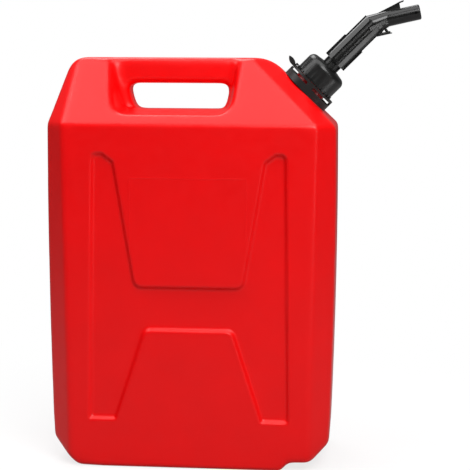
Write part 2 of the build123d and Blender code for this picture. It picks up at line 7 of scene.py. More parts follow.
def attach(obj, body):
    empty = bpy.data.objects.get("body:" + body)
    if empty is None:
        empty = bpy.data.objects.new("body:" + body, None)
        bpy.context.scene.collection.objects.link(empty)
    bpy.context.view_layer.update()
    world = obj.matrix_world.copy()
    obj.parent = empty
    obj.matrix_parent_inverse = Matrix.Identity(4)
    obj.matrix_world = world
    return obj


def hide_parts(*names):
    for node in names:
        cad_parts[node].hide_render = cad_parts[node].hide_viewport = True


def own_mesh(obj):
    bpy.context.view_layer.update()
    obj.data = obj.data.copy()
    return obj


# An upright red fuel can with a black push spout, dressed over its CAD frame.
# Metres throughout. X runs to the neck's side, Y to the back, Z up.
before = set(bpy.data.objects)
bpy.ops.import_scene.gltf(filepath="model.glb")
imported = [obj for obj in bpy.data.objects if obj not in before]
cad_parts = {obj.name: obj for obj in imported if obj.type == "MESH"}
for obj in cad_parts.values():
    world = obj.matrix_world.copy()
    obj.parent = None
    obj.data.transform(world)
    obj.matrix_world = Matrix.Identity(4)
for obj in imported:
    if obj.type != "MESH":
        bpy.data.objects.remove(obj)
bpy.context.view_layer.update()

# Can shell: one blow moulding of red high-density polyethylene, with its handle, hand pockets
# and recesses all in one skin. The blasted mould leaves a satin grain and a thin parting line,
# and blowing rounds the corners more than the broad faces.
NECK_FOOT = Vector((0.1255, 0, 0.4285))
NECK_AXIS = Vector((1, 0, 1)).normalized()
NECK_RADIUS = 0.0206
NECK_SIDE_MARGIN = 0.0002
NECK_FOOT_MARGIN = 0.0003
WELD = 1e-6
SKIN_VOXEL = 0.0012
SKIN_SHARE_KEPT = 0.22
SMOOTH_STEP = 0.5
SKIN_ROUNDS = 6
CORNER_ROUNDS = 110
POCKET_END_ROUNDS = 160
GRIP_ROUNDS = 130
SIDE_SOFTNESS = 0.5
# Each stretch of X, Y or Z runs from where the rounding starts to where it is full.
SHOULDER_RISE = (0.386, 0.405)
FOOT_REACH = (0.095, 0.125)
FOOT_DROP = (0.060, 0.040)
SIDE_REACH = (0.122, 0.134)
LEFT_END = ((-0.122, -0.110), (-0.076, -0.086))
RIGHT_END = ((0.036, 0.046), (0.072, 0.062))
END_RISE = (0.404, 0.420)
END_DEPTH = (0.008, 0.016)
GRIP_LENGTH = ((-0.100, -0.085), (0.052, 0.037))
GRIP_RISE = (0.410, 0.418)
GRIP_DROP = (0.446, 0.434)
GRIP_DEPTH = (0.003, 0.007)
RED = "#F00206"
RED_IN_CLOUDS = "#EA0306"
CLOUD_SIZE = 0.06
SATIN_ROUGHNESS = (0.28, 0.36)
GLOSS_PATCH = 0.012
PLASTIC_IOR = 1.5
SATIN_GLOSS = 0.3
WAVE_SIZE = 0.025
# A blasted mould's grain is about 0.2 mm across, and is drawn coarser so that it shows.
GRAIN_SIZE = 0.0011
# A line is full over its core and gone at its edge, both measured from its middle.
PARTING_LINE = (0.0002, 0.0006)
INSERT_LINE = (0.0003, 0.0011)
INSERT_MIDDLE = (-0.0008, 0.266)
INSERT_HALF = (0.0657, 0.067)
INSERT_FROM = 0.0805
# Each bump is its strength and its depth.
WAVE_BUMP = (0.25, 0.0008)
INSERT_BUMP = (0.5, 0.00025)
GRAIN_BUMP = (0.35, 0.00006)
PARTING_BUMP = (0.8, 0.0003)
# A Mix node has sockets for each type of value, and these are the ones for colours.
MIX_FIRST, MIX_SECOND, MIX_RESULT = 6, 7, 2


def linear(colour):
    """A screen colour such as "#E01014" as the linear colour that shaders take."""
    values = [int(colour[place:place + 2], 16) / 255 for place in (1, 3, 5)]
    return [v / 12.92 if v <= 0.04045 else ((v + 0.055) / 1.055) ** 2.4 for v in values] + [1.0]


def add_node(tree, kind, inputs=None, **settings):
    """Adds a node with its settings; an input takes a value or another node's output."""
    made = tree.nodes.new(kind)
    for name, value in settings.items():
        setattr(made, name, value)
    for name, value in (inputs or {}).items():
        if isinstance(value, bpy.types.NodeSocket):
            tree.links.new(value, made.inputs[name])
        else:
            made.inputs[name].default_value = value
    return made


def new_material(name):
    """A plain material with its tree, its shader and the place on the object."""
    material = bpy.data.materials.new(name)
    material.use_nodes = True
    tree = material.node_tree
    place = add_node(tree, "ShaderNodeTexCoord").outputs["Object"]
    return material, tree, tree.nodes["Principled BSDF"], place


def mottled(tree, place, size, low, high):
    """A value that drifts from low to high in soft blotches about a size across."""
    inputs = {"Vector": place, "Scale": 1 / size, "Detail": 3.0, "Roughness": 0.5}
    blotches = add_node(tree, "ShaderNodeTexNoise", inputs).outputs["Fac"]
    inputs = {"Value": blotches, "From Min": 0.3, "From Max": 0.7, "To Min": low, "To Max": high}
    return add_node(tree, "ShaderNodeMapRange", inputs).outputs["Result"]


def clouded(tree, place, size, first, second):
    """A colour that drifts from one screen colour to another in clouds about a size across."""
    share = mottled(tree, place, size, 0.0, 1.0)
    inputs = {"Factor": share, MIX_FIRST: linear(first), MIX_SECOND: linear(second)}
    return add_node(tree, "ShaderNodeMix", inputs, data_type="RGBA").outputs[MIX_RESULT]


def beyond(tree, value, middle, half):
    """How far a coordinate lies outside a span about a middle, and negative inside it."""
    offset = add_node(tree, "ShaderNodeMath", {0: value, 1: middle}, operation="SUBTRACT").outputs[0]
    offset = add_node(tree, "ShaderNodeMath", {0: offset}, operation="ABSOLUTE").outputs[0]
    return add_node(tree, "ShaderNodeMath", {0: offset, 1: half}, operation="SUBTRACT").outputs[0]


def can_material():
    """Blow-moulded polyethylene: an even saturated red with a broad satin gloss and a faint tooth."""
    material, tree, shader, place = new_material("blow_moulded_hdpe_red")
    tree.links.new(clouded(tree, place, CLOUD_SIZE, RED, RED_IN_CLOUDS), shader.inputs["Base Color"])
    tree.links.new(mottled(tree, place, GLOSS_PATCH, *SATIN_ROUGHNESS), shader.inputs["Roughness"])
    shader.inputs["IOR"].default_value = PLASTIC_IOR
    shader.inputs["Specular IOR Level"].default_value = SATIN_GLOSS
    inputs = {"Vector": place, "Scale": 1 / GRAIN_SIZE, "Detail": 2.0}
    grain = add_node(tree, "ShaderNodeTexNoise", inputs).outputs["Fac"]
    inputs = {"Vector": place, "Scale": 1 / WAVE_SIZE, "Detail": 1.0}
    waves = add_node(tree, "ShaderNodeTexNoise", inputs).outputs["Fac"]
    axes = add_node(tree, "ShaderNodeSeparateXYZ", {"Vector": place}).outputs
    off_middle = add_node(tree, "ShaderNodeMath", {0: axes["Y"]}, operation="ABSOLUTE").outputs[0]
    across = beyond(tree, axes["X"], INSERT_MIDDLE[0], INSERT_HALF[0])
    upward = beyond(tree, axes["Z"], INSERT_MIDDLE[1], INSERT_HALF[1])
    outline = add_node(tree, "ShaderNodeMath", {0: across, 1: upward}, operation="MAXIMUM").outputs[0]
    outline = add_node(tree, "ShaderNodeMath", {0: outline}, operation="ABSOLUTE").outputs[0]
    lines = []
    for distance, (core, edge) in ((off_middle, PARTING_LINE), (outline, INSERT_LINE)):
        inputs = {"Value": distance, "From Min": core, "From Max": edge, "To Min": 1.0, "To Max": 0.0}
        line = add_node(tree, "ShaderNodeMapRange", inputs, interpolation_type="SMOOTHSTEP")
        lines.append(line.outputs["Result"])
    parting, insert = lines
    inputs = {0: off_middle, 1: INSERT_FROM}
    on_face = add_node(tree, "ShaderNodeMath", inputs, operation="GREATER_THAN").outputs[0]
    insert = add_node(tree, "ShaderNodeMath", {0: insert, 1: on_face}, operation="MULTIPLY").outputs[0]
    normal = {}
    for height, (strength, depth) in (
        (waves, WAVE_BUMP), (insert, INSERT_BUMP), (grain, GRAIN_BUMP), (parting, PARTING_BUMP),
    ):
        inputs = {"Height": height, "Strength": strength, "Distance": depth, **normal}
        normal = {"Normal": add_node(tree, "ShaderNodeBump", inputs).outputs["Normal"]}
    tree.links.new(normal["Normal"], shader.inputs["Normal"])
    return material


def ramp(value, stretch):
    """Rises smoothly from 0 at a stretch's start to 1 at its end."""
    start, end = stretch
    share = min(1.0, max(0.0, (value - start) / (end - start)))
    return share * share * (3 - 2 * share)


def between(value, stretches):
    """Rises along the first of two stretches and falls along the second."""
    return ramp(value, stretches[0]) * ramp(value, stretches[1])


def corner_softness(spot):
    """How much blowing rounds the skin: most at the shoulder and foot corners, least on the faces."""
    top = ramp(spot.z, SHOULDER_RISE)
    foot = ramp(abs(spot.x), FOOT_REACH) * ramp(spot.z, FOOT_DROP)
    side = SIDE_SOFTNESS * ramp(abs(spot.x), SIDE_REACH)
    return max(top, foot, side)


def pocket_end_softness(spot):
    """The long blend where a hand pocket runs out into the shoulder at each end of the grip."""
    end = max(between(spot.x, LEFT_END), between(spot.x, RIGHT_END))
    return end * ramp(spot.z, END_RISE) * ramp(abs(spot.y), END_DEPTH)


def grip_softness(spot):
    """The grip's lower edges, which roll under to the fingers."""
    length = between(spot.x, GRIP_LENGTH)
    return length * ramp(spot.z, GRIP_RISE) * ramp(spot.z, GRIP_DROP) * ramp(abs(spot.y), GRIP_DEPTH)


def along_neck(point):
    """A point's height along the neck's axis and its distance from that axis."""
    offset = point - NECK_FOOT
    height = offset.dot(NECK_AXIS)
    return height, (offset - NECK_AXIS * height).length


def cut_off_neck(shape):
    """Takes away the neck's faces, which are made by themselves."""
    neck_faces = []
    for face in shape.faces:
        spots = [along_neck(corner.co) for corner in face.verts]
        if all(
            distance < NECK_RADIUS + NECK_SIDE_MARGIN and height > -NECK_FOOT_MARGIN
            for height, distance in spots
        ):
            neck_faces.append(face)
    bmesh.ops.delete(shape, geom=neck_faces, context="FACES")


def keep_outside(shape):
    """Keeps the shell that the highest point is on, and closes the hole that the neck left."""
    shell = {max(shape.verts, key=lambda corner: corner.co.z)}
    front = list(shell)
    while front:
        nearby = {edge.other_vert(corner) for corner in front for edge in corner.link_edges}
        front = nearby - shell
        shell |= front
    inside = [corner for corner in shape.verts if corner not in shell]
    bmesh.ops.delete(shape, geom=inside, context="VERTS")
    open_edges = [edge for edge in shape.edges if edge.is_boundary]
    bmesh.ops.holes_fill(shape, edges=open_edges, sides=0)
    bmesh.ops.recalc_face_normals(shape, faces=shape.faces)


def piece_from(shape, name):
    """Makes an object at the origin from a bmesh."""
    mesh = bpy.data.meshes.new(name)
    shape.to_mesh(mesh)
    shape.free()
    piece = bpy.data.objects.new(name, mesh)
    bpy.context.scene.collection.objects.link(piece)
    return piece


def baked(piece):
    """Turns a piece's modifiers into its plain mesh."""
    bpy.context.view_layer.update()
    finished = bpy.data.meshes.new_from_object(piece.evaluated_get(bpy.context.evaluated_depsgraph_get()))
    piece.modifiers.clear()
    piece.data = finished
    return piece


def can_skin():
    """The outside of the can's solid without its neck, softened as a blown skin is."""
    shape = bmesh.new()
    shape.from_mesh(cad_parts["can_body"].data)
    bmesh.ops.remove_doubles(shape, verts=shape.verts, dist=WELD)
    cut_off_neck(shape)
    keep_outside(shape)
    skin = piece_from(shape, "can_shell")
    remesh = skin.modifiers.new("even", "REMESH")
    remesh.mode = "VOXEL"
    remesh.voxel_size = SKIN_VOXEL
    remesh.use_smooth_shade = True
    soften = skin.modifiers.new("soften", "SMOOTH")
    soften.factor = SMOOTH_STEP
    soften.iterations = SKIN_ROUNDS
    baked(skin)
    for name, softness, rounds in (
        ("rounded", corner_softness, CORNER_ROUNDS),
        ("pocket_ends", pocket_end_softness, POCKET_END_ROUNDS),
        ("grip_underside", grip_softness, GRIP_ROUNDS),
    ):
        levels = {}
        for corner in skin.data.vertices:
            levels.setdefault(round(softness(corner.co), 1), []).append(corner.index)
        group = skin.vertex_groups.new(name=name)
        for level, corners in levels.items():
            group.add(corners, level, "REPLACE")
        blow = skin.modifiers.new("blown_" + name, "SMOOTH")
        blow.factor = SMOOTH_STEP
        blow.iterations = rounds
        blow.vertex_group = name
    thin = skin.modifiers.new("thin", "DECIMATE")
    thin.ratio = SKIN_SHARE_KEPT
    baked(skin)
    skin.vertex_groups.clear()
    return skin


def dress(piece, material, body, slot_name, *nodes):
    """Gives a piece its material and its body, and hides the CAD nodes that it stands for. Its slot name is
    not used.
    """
    piece.data.materials.clear()
    piece.data.materials.append(material)
    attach(piece, body)
    if nodes:
        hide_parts(*nodes)
    return piece


red_plastic = can_material()
dress(can_skin(), red_plastic, "can", "red_hdpe", "can_body")


# Neck: moulded with the shell in the same red, square to the slanted side. It is a plain tube
# with a rounded lip, and one and a third turns of blunt thread stand on it above the collar.
NECK_BORE = 0.0183
NECK_RISE = 0.025
NECK_STEPS = 96
NECK_CREASE = 35
NECK_LIP_ROUND = 0.0008
LIP_MIDDLE_SHARE = 0.3
THREAD_FOOT = 0.0163
THREAD_TOP = 0.0213
THREAD_TURNS = 4 / 3
THREAD_REACH = 0.0222
THREAD_SUNK = 0.0004
THREAD_ROOT_HALF = 0.0013
THREAD_CREST_HALF = 0.0006
RUN_OUT_SHARE = 1 / 8


def neck_frame():
    """The matrix that stands a shape drawn about Z on the neck's axis."""
    across = Vector((NECK_AXIS.z, 0, -NECK_AXIS.x))
    turn = Matrix((across, NECK_AXIS.cross(across), NECK_AXIS)).transposed().to_4x4()
    return Matrix.Translation(NECK_FOOT) @ turn


def smooth_by_angle(piece, crease):
    """Smooth shading that stays crisp at edges sharper than a crease, in degrees."""
    piece.data.shade_smooth()
    piece.data.set_sharp_from_angle(angle=math.radians(crease))


def ring_at(shape, outline, angle, height=0.0):
    """Stands an outline of radius and height up at an angle about Z."""
    spots = [(radius * math.cos(angle), radius * math.sin(angle), height + rise) for radius, rise in outline]
    return [shape.verts.new(spot) for spot in spots]


def bridge(shape, near, far):
    """Joins two rings of points with faces all round."""
    for place in range(len(near)):
        after = (place + 1) % len(near)
        shape.faces.new((near[place], far[place], far[after], near[after]))


def neck_tube(shape):
    """The tube with its rounded lip, turned about Z."""
    cut = NECK_LIP_ROUND * LIP_MIDDLE_SHARE
    profile = [
        (NECK_BORE, 0.0), (NECK_RADIUS, 0.0), (NECK_RADIUS, NECK_RISE - NECK_LIP_ROUND),
        (NECK_RADIUS - cut, NECK_RISE - cut),
        (NECK_RADIUS - NECK_LIP_ROUND, NECK_RISE), (NECK_BORE, NECK_RISE),
    ]
    rings = [ring_at(shape, profile, 2 * math.pi * step / NECK_STEPS) for step in range(NECK_STEPS)]
    for near, far in zip(rings, rings[1:] + rings[:1]):
        bridge(shape, near, far)


def neck_thread(shape):
    """A helical ridge with run-out ends, sunk a little in the tube's wall."""
    count = int(NECK_STEPS * THREAD_TURNS)
    sunk = NECK_RADIUS - THREAD_SUNK
    rings = []
    for step in range(count + 1):
        share = step / count
        swell = min(1.0, share / RUN_OUT_SHARE, (1 - share) / RUN_OUT_SHARE)
        reach = sunk + (THREAD_REACH - sunk) * swell
        outline = [
            (sunk, -THREAD_ROOT_HALF), (reach, -THREAD_CREST_HALF),
            (reach, THREAD_CREST_HALF), (sunk, THREAD_ROOT_HALF),
        ]
        middle = THREAD_FOOT + (THREAD_TOP - THREAD_FOOT) * share
        rings.append(ring_at(shape, outline, 2 * math.pi * THREAD_TURNS * share, middle))
    for near, far in zip(rings, rings[1:]):
        bridge(shape, near, far)
    shape.faces.new(rings[0])
    shape.faces.new(reversed(rings[-1]))


def neck():
    """The neck's tube and thread as one piece."""
    shape = bmesh.new()
    neck_tube(shape)
    neck_thread(shape)
    bmesh.ops.recalc_face_normals(shape, faces=shape.faces)
    shape.transform(neck_frame())
    piece = piece_from(shape, "can_neck")
    smooth_by_angle(piece, NECK_CREASE)
    return piece


dress(neck(), red_plastic, "can", "red_hdpe")


# Collar and thumb tab: injection-moulded black nylon. The collar sits round the foot of the
# neck, with windows between its posts. The leaf-shaped tab tilts on a thin hinge beside it,
# and its pawl keeps the cap from turning.
MOULD_EDGE = 0.0003
MOULD_CREASE = 32
EDGE_STEPS = 3
FLAT_UNDER = math.radians(1)
FLOW_CLOUD = 0.009
ROUGHNESS_DROP = 0.02
ROUGHNESS_RISE = 0.03
SPARK_GRAIN_DEPTH = 0.00003


def moulded_material(name, colour, worn, roughness, gloss, grain_size, grain_strength):
    """Injection-moulded black: faint flow clouds, patches of gloss and a spark-eroded grain."""
    material, tree, shader, place = new_material(name)
    tree.links.new(clouded(tree, place, FLOW_CLOUD, colour, worn), shader.inputs["Base Color"])
    low, high = roughness - ROUGHNESS_DROP, roughness + ROUGHNESS_RISE
    tree.links.new(mottled(tree, place, GLOSS_PATCH, low, high), shader.inputs["Roughness"])
    shader.inputs["Specular IOR Level"].default_value = gloss
    inputs = {"Vector": place, "Scale": 1 / grain_size, "Detail": 2.0}
    grain = add_node(tree, "ShaderNodeTexNoise", inputs).outputs["Fac"]
    inputs = {"Height": grain, "Strength": grain_strength, "Distance": SPARK_GRAIN_DEPTH}
    bump = add_node(tree, "ShaderNodeBump", inputs).outputs["Normal"]
    tree.links.new(bump, shader.inputs["Normal"])
    return material


def moulded(node, name, edge_round, reshape=None):
    """A CAD node's form with the small radius that a mould leaves on every edge."""
    shape = bmesh.new()
    shape.from_mesh(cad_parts[node].data)
    bmesh.ops.remove_doubles(shape, verts=shape.verts, dist=WELD)
    bmesh.ops.dissolve_limit(
        shape, angle_limit=FLAT_UNDER, verts=shape.verts, edges=shape.edges, delimit={"NORMAL"}
    )
    if reshape:
        reshape(shape)
    piece = piece_from(shape, name)
    smooth_by_angle(piece, MOULD_CREASE)
    bevel = piece.modifiers.new("edge_round", "BEVEL")
    bevel.width = edge_round
    bevel.segments = EDGE_STEPS
    bevel.limit_method = "ANGLE"
    bevel.angle_limit = math.radians(MOULD_CREASE)
    bevel.harden_normals = True
    return baked(piece)


# Moulded nylon gives a dull black with a fine tooth. Its 0.1 mm grain is drawn coarser to show.
nylon = moulded_material(
    "moulded_nylon_black", "#0E0E0D", "#141412",
    roughness=0.40, gloss=0.4, grain_size=0.0006, grain_strength=0.2,
)
dress(moulded("lock_ring", "collar", MOULD_EDGE), nylon, "can", "black_nylon", "lock_ring")
dress(moulded("release_tab", "thumb_tab", MOULD_EDGE), nylon, "tab", "black_nylon", "release_tab")


# Gasket, guide tube and seal ring: the spout's fixed tube is moulded nylon, and its flange is
# clamped on the neck's lip over a flat rubber gasket. A rubber ring in a groove near its nose
# seals it to the sleeve that slides on it.
FINE_EDGE = 0.0002


def finish_solid(node, material):
    """Gives a CAD solid whose shape is right as it is its real finish."""
    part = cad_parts[node]
    part.data.materials.clear()
    part.data.materials.append(material)


# Nitrile rubber gives a soft matt black that hardly reflects.
rubber = moulded_material(
    "nitrile_rubber_black", "#151515", "#1C1C1B",
    roughness=0.7, gloss=0.4, grain_size=0.0003, grain_strength=0.3,
)
finish_solid("neck_gasket", rubber)
dress(moulded("guide_tube", "guide", FINE_EDGE), nylon, "stem", "black_nylon", "guide_tube")
finish_solid("stem_seal_ring", rubber)


# Valve and vent: a moulded nylon disc with a rubber face ring closes the guide tube's foot.
# It sits on the end of the thin nylon vent tube, which runs up to the port by the nozzle's tip.
finish_solid("valve_seal", rubber)
finish_solid("valve_disc", nylon)
finish_solid("vent_tube", nylon)


# Return spring: six open turns of drawn steel wire between the guide tube's shoulder and the
# sleeve's seat. It pushes the sleeve out again, and shortens as the sleeve slides in.
SPRING_FOOT = 0.0628
SPRING_LENGTH = 0.0284
SPRING_RADIUS = 0.0087
SPRING_TURNS = 6.0
WIRE_RADIUS = 0.0006
WIRE_SIDES = 12
STEPS_A_TURN = 48
SWEPT_CREASE = 40
STEEL = "#B5B5B2"
DULL_STEEL = "#9D9C98"
STEEL_CLOUD = 0.002
DRAWN_ROUGHNESS = (0.25, 0.38)
DRAWN_PATCH = 0.001


def steel_material():
    """Drawn spring wire: a grey metal with a broken gloss. Its fine die lines are drawn as patches."""
    material, tree, shader, place = new_material("drawn_spring_steel")
    shader.inputs["Metallic"].default_value = 1.0
    tree.links.new(clouded(tree, place, STEEL_CLOUD, STEEL, DULL_STEEL), shader.inputs["Base Color"])
    tree.links.new(mottled(tree, place, DRAWN_PATCH, *DRAWN_ROUGHNESS), shader.inputs["Roughness"])
    return material


def start_tree(name, inputs, output):
    """A node tree with its named inputs: Path takes a mesh, and each other one a size."""
    tree = bpy.data.node_groups.new(name, "GeometryNodeTree")
    for label in inputs:
        kind = "NodeSocketGeometry" if label == "Path" else "NodeSocketFloat"
        tree.interface.new_socket(label, in_out="INPUT", socket_type=kind)
    tree.interface.new_socket(output, in_out="OUTPUT", socket_type="NodeSocketGeometry")
    return tree, add_node(tree, "NodeGroupInput").outputs


def end_tree(tree, geometry, material, output):
    """Ends a tree with real geometry in its material."""
    real = add_node(tree, "GeometryNodeRealizeInstances", {"Geometry": geometry}).outputs[0]
    inputs = {"Geometry": real, "Material": material}
    dressed = add_node(tree, "GeometryNodeSetMaterial", inputs).outputs[0]
    add_node(tree, "NodeGroupOutput", {output: dressed})
    return tree


def grown(name, path, tree, sizes):
    """A plain mesh from a path and a node tree, with the tree's named sizes."""
    mesh = bpy.data.meshes.new(name)
    mesh.from_pydata(path, [(place, place + 1) for place in range(len(path) - 1)], [])
    piece = bpy.data.objects.new(name, mesh)
    bpy.context.scene.collection.objects.link(piece)
    grow = piece.modifiers.new("grow", "NODES")
    grow.node_group = tree
    for socket in tree.interface.items_tree:
        if socket.name in sizes:
            grow[socket.identifier] = sizes[socket.name]
    return baked(piece)


def coil_tree(material):
    """Winds a round wire about Z, from the origin up."""
    tree, given = start_tree("wound_spring", ("Coil radius", "Length", "Turns", "Wire radius"), "Spring")
    inputs = {
        "Resolution": STEPS_A_TURN, "Rotations": given["Turns"], "Start Radius": given["Coil radius"],
        "End Radius": given["Coil radius"], "Height": given["Length"],
    }
    coil = add_node(tree, "GeometryNodeCurveSpiral", inputs).outputs[0]
    inputs = {"Resolution": WIRE_SIDES, "Radius": given["Wire radius"]}
    wire = add_node(tree, "GeometryNodeCurvePrimitiveCircle", inputs).outputs[0]
    inputs = {"Curve": coil, "Profile Curve": wire, "Fill Caps": True}
    swept = add_node(tree, "GeometryNodeCurveToMesh", inputs).outputs[0]
    return end_tree(tree, swept, material, "Spring")


steel = steel_material()
spring = grown("spring", [], coil_tree(steel), {
    "Coil radius": SPRING_RADIUS, "Length": SPRING_LENGTH, "Turns": SPRING_TURNS, "Wire radius": WIRE_RADIUS,
})
spring.data.transform(neck_frame() @ Matrix.Translation((0, 0, SPRING_FOOT)))
smooth_by_angle(spring, SWEPT_CREASE)
dress(spring, steel, "stem", "spring_steel", "return_spring")
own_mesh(spring)


# Sleeve and nozzle end: the bent pouring tube that slides on the guide tube, moulded in black
# polyethylene with its fin and hook in one piece. The spoked end piece is pressed into the
# nozzle's mouth and gives it a round lip.
NOZZLE_BEND = 0.1132
NOZZLE_ANGLE = math.radians(32.5)
LIP_INSIDE = 0.0080
LIP_ROUND = 0.0018
LIP_STEPS = 5
LIP_BAND = 0.0001


def round_lip(shape):
    """Rounds the outer edge of the nozzle's lip."""
    bend = neck_frame() @ Vector((0, 0, NOZZLE_BEND))
    ahead = neck_frame() @ Vector((math.sin(NOZZLE_ANGLE), 0, math.cos(NOZZLE_ANGLE)))
    axis = (ahead - NECK_FOOT).normalized()
    far = max((corner.co - bend).dot(axis) for corner in shape.verts)
    rim = set()
    for corner in shape.verts:
        along = (corner.co - bend).dot(axis)
        if along > far - LIP_BAND and (corner.co - bend - axis * along).length > LIP_INSIDE:
            rim.add(corner)
    edges = [edge for edge in shape.edges if all(corner in rim for corner in edge.verts)]
    bmesh.ops.bevel(shape, geom=edges, offset=LIP_ROUND, segments=LIP_STEPS, profile=0.5, affect="EDGES")


# Moulded polyethylene gives the deepest black, smooth and glossy. Its grain is drawn coarser to show.
polyethylene = moulded_material(
    "moulded_polyethylene_black", "#070707", "#0B0B0A",
    roughness=0.20, gloss=0.45, grain_size=0.0008, grain_strength=0.02,
)
sleeve = moulded("pour_sleeve", "sleeve", MOULD_EDGE)
dress(sleeve, polyethylene, "sleeve", "black_polyethylene", "pour_sleeve")
nozzle_end = moulded("tip_spider", "nozzle_end", FINE_EDGE, round_lip)
dress(nozzle_end, polyethylene, "sleeve", "black_nylon", "tip_spider")


# Flutes: four bars down the straight barrel, moulded with the sleeve so that fingers hold it.
# Each has a flat top that catches the light, with a small round along both edges.
FLUTE_ANGLES = (-125.5, -54.5, 54.5, 125.5)
FLUTE_FOOT = 0.0484
FLUTE_TOP = 0.1088
FLUTE_RADIUS = 0.01325
FLUTE_DEPTH = 0.0018
FLUTE_WIDTH = 0.0062
FLUTE_EDGE = 0.0004


def flat_faced(piece):
    """Shading that keeps wide faces flat and turns only over the small rounds between them."""
    smooth_by_angle(piece, SWEPT_CREASE)
    piece.modifiers.new("flat_faces", "WEIGHTED_NORMAL").keep_sharp = True
    return baked(piece)


def flute_tree(material):
    """Stands a rounded bar along a path at each of the flutes' angles about Z."""
    inputs = ("Path", "Width", "Depth", "Edge round", "Middle radius")
    tree, given = start_tree("barrel_flutes", inputs, "Flutes")
    line = add_node(tree, "GeometryNodeMeshToCurve", {"Mesh": given["Path"]}).outputs[0]
    inputs = {"Width": given["Depth"], "Height": given["Width"]}
    section = add_node(tree, "GeometryNodeCurvePrimitiveQuadrilateral", inputs).outputs[0]
    inputs = {"Curve": section, "Radius": given["Edge round"], "Count": EDGE_STEPS}
    section = add_node(tree, "GeometryNodeFilletCurve", inputs, mode="POLY").outputs[0]
    inputs = {"Curve": line, "Profile Curve": section, "Fill Caps": True}
    bar = add_node(tree, "GeometryNodeCurveToMesh", inputs).outputs[0]
    outwards = add_node(tree, "ShaderNodeCombineXYZ", {"X": given["Middle radius"]}).outputs[0]
    bar = add_node(tree, "GeometryNodeTransform", {"Geometry": bar, "Translation": outwards}).outputs[0]
    flutes = add_node(tree, "GeometryNodeJoinGeometry")
    for angle in FLUTE_ANGLES:
        inputs = {"Geometry": bar, "Rotation": (0, 0, math.radians(angle))}
        turned = add_node(tree, "GeometryNodeTransform", inputs).outputs[0]
        tree.links.new(turned, flutes.inputs[0])
    return end_tree(tree, flutes.outputs[0], material, "Flutes")


flutes = grown("sleeve_flutes", [(0, 0, FLUTE_FOOT), (0, 0, FLUTE_TOP)], flute_tree(polyethylene), {
    "Width": FLUTE_WIDTH, "Depth": FLUTE_DEPTH, "Edge round": FLUTE_EDGE,
    "Middle radius": FLUTE_RADIUS - FLUTE_DEPTH / 2,
})
flutes.data.transform(neck_frame())
dress(flat_faced(flutes), polyethylene, "sleeve", "black_polyethylene")


# Elbow wedges: on each side the lower flute ends in a flat wedge that turns over the bend. They
# are moulded with the sleeve, and their slanted faces show as bright facets at the elbow.
ELBOW_RIB = [
    (0.0001, -0.0133, 0.1035), (0.0040, -0.0127, 0.1004),
    (0.0109, -0.0101, 0.1223), (0.0069, -0.0109, 0.1240),
]
ELBOW_RIB_DEPTH = 0.0019
ELBOW_EDGE = 0.0003


def elbow_ribs():
    """One wedge on each side, drawn as downslope, across and height along the neck."""
    shape = bmesh.new()
    for side in (1, -1):
        top = [shape.verts.new((down, side * across, height)) for down, across, height in ELBOW_RIB]
        foot = [
            shape.verts.new((down, side * (across + ELBOW_RIB_DEPTH), height))
            for down, across, height in ELBOW_RIB
        ]
        shape.faces.new(top)
        shape.faces.new(reversed(foot))
        bridge(shape, top, foot)
    bmesh.ops.recalc_face_normals(shape, faces=shape.faces)
    bmesh.ops.bevel(
        shape, geom=shape.edges[:], offset=ELBOW_EDGE, segments=EDGE_STEPS, profile=0.5, affect="EDGES"
    )
    shape.transform(neck_frame())
    return flat_faced(piece_from(shape, "elbow_ribs"))


dress(elbow_ribs(), polyethylene, "sleeve", "black_polyethylene")


# Hook and fin: thin webs of the sleeve's own moulding, each with a round bead along its edge.
# The hook and its strut catch a filler pipe's rim, and the fin ends in a thin prong.
# Each point is its rise over the nozzle's axis and its length along it from the bend.
HOOK_EDGE = [(-0.0150, -0.0012), (-0.0154, 0.0010), (-0.0155, 0.0142)]
HOOK_STRUT = [(-0.0155, 0.0112), (-0.0088, 0.0084)]
HOOK_BEAD = 0.0016
FIN_PRONG = [(0.0118, 0.0215), (0.0152, 0.0300), (0.0160, 0.0350)]
FIN_BEAD = 0.0009
BEAD_SIDES = 16


def nozzle_spot(rise, along):
    """A point of the nozzle's middle plane in the frame."""
    across = -rise * math.cos(NOZZLE_ANGLE) + along * math.sin(NOZZLE_ANGLE)
    up = rise * math.sin(NOZZLE_ANGLE) + along * math.cos(NOZZLE_ANGLE) + NOZZLE_BEND
    return neck_frame() @ Vector((across, 0, up))


def bead_tree(material):
    """Runs a round bead of a given radius along a path."""
    tree, given = start_tree("moulded_bead", ("Path", "Radius"), "Bead")
    line = add_node(tree, "GeometryNodeMeshToCurve", {"Mesh": given["Path"]}).outputs[0]
    inputs = {"Resolution": BEAD_SIDES, "Radius": given["Radius"]}
    section = add_node(tree, "GeometryNodeCurvePrimitiveCircle", inputs).outputs[0]
    inputs = {"Curve": line, "Profile Curve": section, "Fill Caps": True}
    swept = add_node(tree, "GeometryNodeCurveToMesh", inputs).outputs[0]
    return end_tree(tree, swept, material, "Bead")


bead = bead_tree(polyethylene)
for name, path, radius in (
    ("hook_edge", HOOK_EDGE, HOOK_BEAD),
    ("hook_strut", HOOK_STRUT, HOOK_BEAD),
    ("fin_prong", FIN_PRONG, FIN_BEAD),
):
    piece = grown(name, [nozzle_spot(*spot) for spot in path], bead, {"Radius": radius})
    smooth_by_angle(piece, SWEPT_CREASE)
    dress(piece, polyethylene, "sleeve", "black_polyethylene")


# Cap: a domed screw cap that clamps the guide tube's flange on the neck, with ratchet teeth at
# its foot for the tab's pawl. It is the sleeve's polyethylene from a less polished mould, which
# spreads the lamps into wide soft lights on the dome.
cap_plastic = moulded_material(
    "satin_polyethylene_black", "#080808", "#0C0C0B",
    roughness=0.30, gloss=0.45, grain_size=0.0006, grain_strength=0.04,
)
dress(moulded("screw_cap", "cap", MOULD_EDGE), cap_plastic, "cap", "black_polyethylene", "screw_cap")


